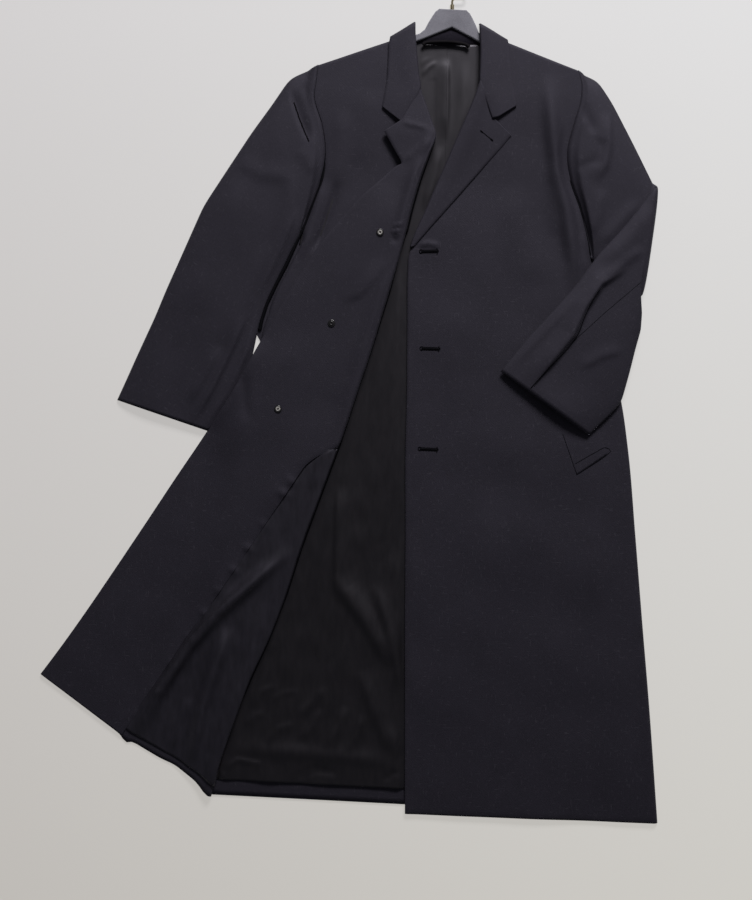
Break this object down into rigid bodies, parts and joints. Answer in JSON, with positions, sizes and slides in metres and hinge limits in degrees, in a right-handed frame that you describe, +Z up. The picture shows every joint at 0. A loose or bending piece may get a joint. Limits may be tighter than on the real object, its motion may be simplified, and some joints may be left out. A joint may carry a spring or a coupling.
{
  "type": "maxi coat laid flat on a hanger",
  "caption": "Long wool coat laid flat on its back on a slim hanger: one front closed, the other thrown open to show facing and lining.",
  "frame": {"origin": "centre of the footprint's box, on the surface that the coat lies on", "axes": "+X towards the coat's own left side, +Y towards the collar, +Z up from the surface"},
  "size_m": [1.0156, 1.3869, 0.0188],
  "materials": {
    "wool": "dense black wool with a short matt nap",
    "lining": "black satin lining, softly glossy",
    "button": "black polished button",
    "hanger": "slate velvet flock over plastic",
    "hook": "pale gold plated wire"
  },
  "bodies": {
    "root": {"back_left": "wool", "back_right": "wool", "back_lining_left": "lining", "back_lining_right": "lining", "left_front": "wool", "left_lapel": "wool", "right_front_side": "wool", "right_front": "wool", "right_facing": "wool", "right_front_lining": "lining", "collar_left_leaf": "wool", "collar_right_leaf": "wool", "collar_back": "wool", "left_sleeve": "wool", "right_sleeve": "wool", "left_pocket_welt": "wool", "right_pocket_welt": "wool", "button_1": "button", "button_2": "button", "button_3": "button", "counter_button_1": "button", "counter_button_2": "button", "counter_button_3": "button", "hanging_loop": "lining", "hanger": "hanger", "hook_ferrule": "hook", "hook": "hook"}
  },
  "joints": []
}
